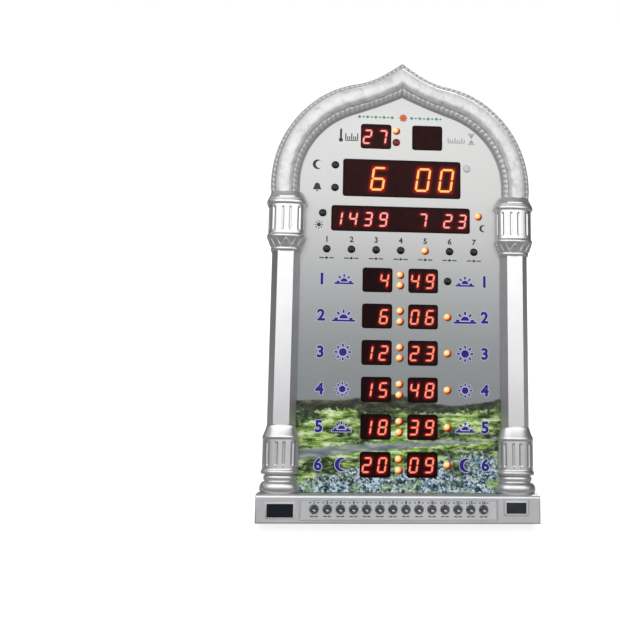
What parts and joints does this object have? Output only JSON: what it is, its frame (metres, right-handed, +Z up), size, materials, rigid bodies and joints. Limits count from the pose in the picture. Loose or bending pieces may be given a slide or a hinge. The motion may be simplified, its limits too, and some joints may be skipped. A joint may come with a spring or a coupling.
{
  "type": "azan clock",
  "caption": "Desk clock in an arched, columned frame with red lamp displays, a row of push buttons, a stepped rear cover and a folding stand.",
  "frame": {"origin": "centre of the bounding box, at the level of the table", "axes": "+Z up, -Y towards the viewer, +X to the viewer's right; the clock leans back on its open stand"},
  "size_m": [0.2274, 0.1922, 0.3532],
  "materials": {
    "frame_silver": "silver metallised plastic, satin to bright",
    "dial_print": "printed panel, silver grey with a coloured landscape",
    "panel_silver": "satin silver",
    "cover_white": "satin moulded white",
    "pin_steel": "plain",
    "board_green": "solder resist",
    "window_navy": "dark polished filter",
    "badge_silver": "polished frame with a black field, blank",
    "speaker_black": "dark cone and basket",
    "control_black": "satin black",
    "display_red": "smoked red filter over lit segments",
    "lamp_red": "clear red lens",
    "button_chrome": "polished",
    "screw_dark": "dark plated"
  },
  "bodies": {
    "clock": {"front_frame": "frame_silver", "dial_panel": "dial_print", "temperature_display": "display_red", "auxiliary_display": "display_red", "time_display": "display_red", "date_display": "display_red", "row_1_hours_display": "display_red", "row_1_minutes_display": "display_red", "row_2_hours_display": "display_red", "row_2_minutes_display": "display_red", "row_3_hours_display": "display_red", "row_3_minutes_display": "display_red", "row_4_hours_display": "display_red", "row_4_minutes_display": "display_red", "row_5_hours_display": "display_red", "row_5_minutes_display": "display_red", "row_6_hours_display": "display_red", "row_6_minutes_display": "display_red", "day_lamp_strip": "lamp_red", "colon_lamp_strip": "lamp_red", "row_lamp_strip": "lamp_red", "temperature_lamp_strip": "lamp_red", "left_lamp_strip": "lamp_red", "right_lamp_strip": "lamp_red", "main_board": "board_green", "button_panel": "panel_silver", "button_board": "board_green", "ir_window": "window_navy", "badge_plate": "badge_silver", "rear_cover": "cover_white", "cover_screw_1": "screw_dark", "cover_screw_2": "screw_dark", "cover_screw_3": "screw_dark", "cover_screw_4": "screw_dark", "cover_screw_5": "screw_dark", "cover_screw_6": "screw_dark", "cover_screw_7": "screw_dark", "hinge_pin_left": "pin_steel", "hinge_pin_right": "pin_steel", "speaker": "speaker_black", "backup_cell": "pin_steel", "volume_control": "control_black", "audio_socket": "control_black", "power_socket": "control_black"},
    "stand": {"stand": "cover_white"},
    "volume_wheel": {"volume_wheel": "control_black"},
    "button_01": {"button_01": "button_chrome"},
    "button_02": {"button_02": "button_chrome"},
    "button_03": {"button_03": "button_chrome"},
    "button_04": {"button_04": "button_chrome"},
    "button_05": {"button_05": "button_chrome"},
    "button_06": {"button_06": "button_chrome"},
    "button_07": {"button_07": "button_chrome"},
    "button_08": {"button_08": "button_chrome"},
    "button_09": {"button_09": "button_chrome"},
    "button_10": {"button_10": "button_chrome"},
    "button_11": {"button_11": "button_chrome"},
    "button_12": {"button_12": "button_chrome"},
    "button_13": {"button_13": "button_chrome"},
    "button_14": {"button_14": "button_chrome"}
  },
  "joints": [
    {"name": "stand_hinge", "type": "hinge", "parent": "clock", "child": "stand", "pos_m": [0, 0.02714, 0.17196], "axis": [-1, 0, 0], "range_deg": [0, 37]},
    {"name": "button_01_press", "type": "slide", "parent": "clock", "child": "button_01", "axis": [0, 0.8964, -0.4432], "range_m": [0, 0.0008], "stiffness_N_per_m": 800, "springref_m": -0.0005},
    {"name": "button_02_press", "type": "slide", "parent": "clock", "child": "button_02", "axis": [0, 0.8964, -0.4432], "range_m": [0, 0.0008], "stiffness_N_per_m": 800, "springref_m": -0.0005},
    {"name": "button_03_press", "type": "slide", "parent": "clock", "child": "button_03", "axis": [0, 0.8964, -0.4432], "range_m": [0, 0.0008], "stiffness_N_per_m": 800, "springref_m": -0.0005},
    {"name": "button_04_press", "type": "slide", "parent": "clock", "child": "button_04", "axis": [0, 0.8964, -0.4432], "range_m": [0, 0.0008], "stiffness_N_per_m": 800, "springref_m": -0.0005},
    {"name": "button_05_press", "type": "slide", "parent": "clock", "child": "button_05", "axis": [0, 0.8964, -0.4432], "range_m": [0, 0.0008], "stiffness_N_per_m": 800, "springref_m": -0.0005},
    {"name": "button_06_press", "type": "slide", "parent": "clock", "child": "button_06", "axis": [0, 0.8964, -0.4432], "range_m": [0, 0.0008], "stiffness_N_per_m": 800, "springref_m": -0.0005},
    {"name": "button_07_press", "type": "slide", "parent": "clock", "child": "button_07", "axis": [0, 0.8964, -0.4432], "range_m": [0, 0.0008], "stiffness_N_per_m": 800, "springref_m": -0.0005},
    {"name": "button_08_press", "type": "slide", "parent": "clock", "child": "button_08", "axis": [0, 0.8964, -0.4432], "range_m": [0, 0.0008], "stiffness_N_per_m": 800, "springref_m": -0.0005},
    {"name": "button_09_press", "type": "slide", "parent": "clock", "child": "button_09", "axis": [0, 0.8964, -0.4432], "range_m": [0, 0.0008], "stiffness_N_per_m": 800, "springref_m": -0.0005},
    {"name": "button_10_press", "type": "slide", "parent": "clock", "child": "button_10", "axis": [0, 0.8964, -0.4432], "range_m": [0, 0.0008], "stiffness_N_per_m": 800, "springref_m": -0.0005},
    {"name": "button_11_press", "type": "slide", "parent": "clock", "child": "button_11", "axis": [0, 0.8964, -0.4432], "range_m": [0, 0.0008], "stiffness_N_per_m": 800, "springref_m": -0.0005},
    {"name": "button_12_press", "type": "slide", "parent": "clock", "child": "button_12", "axis": [0, 0.8964, -0.4432], "range_m": [0, 0.0008], "stiffness_N_per_m": 800, "springref_m": -0.0005},
    {"name": "button_13_press", "type": "slide", "parent": "clock", "child": "button_13", "axis": [0, 0.8964, -0.4432], "range_m": [0, 0.0008], "stiffness_N_per_m": 800, "springref_m": -0.0005},
    {"name": "button_14_press", "type": "slide", "parent": "clock", "child": "button_14", "axis": [0, 0.8964, -0.4432], "range_m": [0, 0.0008], "stiffness_N_per_m": 800, "springref_m": -0.0005},
    {"name": "volume_turn", "type": "hinge", "parent": "clock", "child": "volume_wheel", "pos_m": [0.0984, -0.02359, 0.11561], "axis": [0, 0.8964, -0.4432], "range_deg": [-140, 140]}
  ]
}
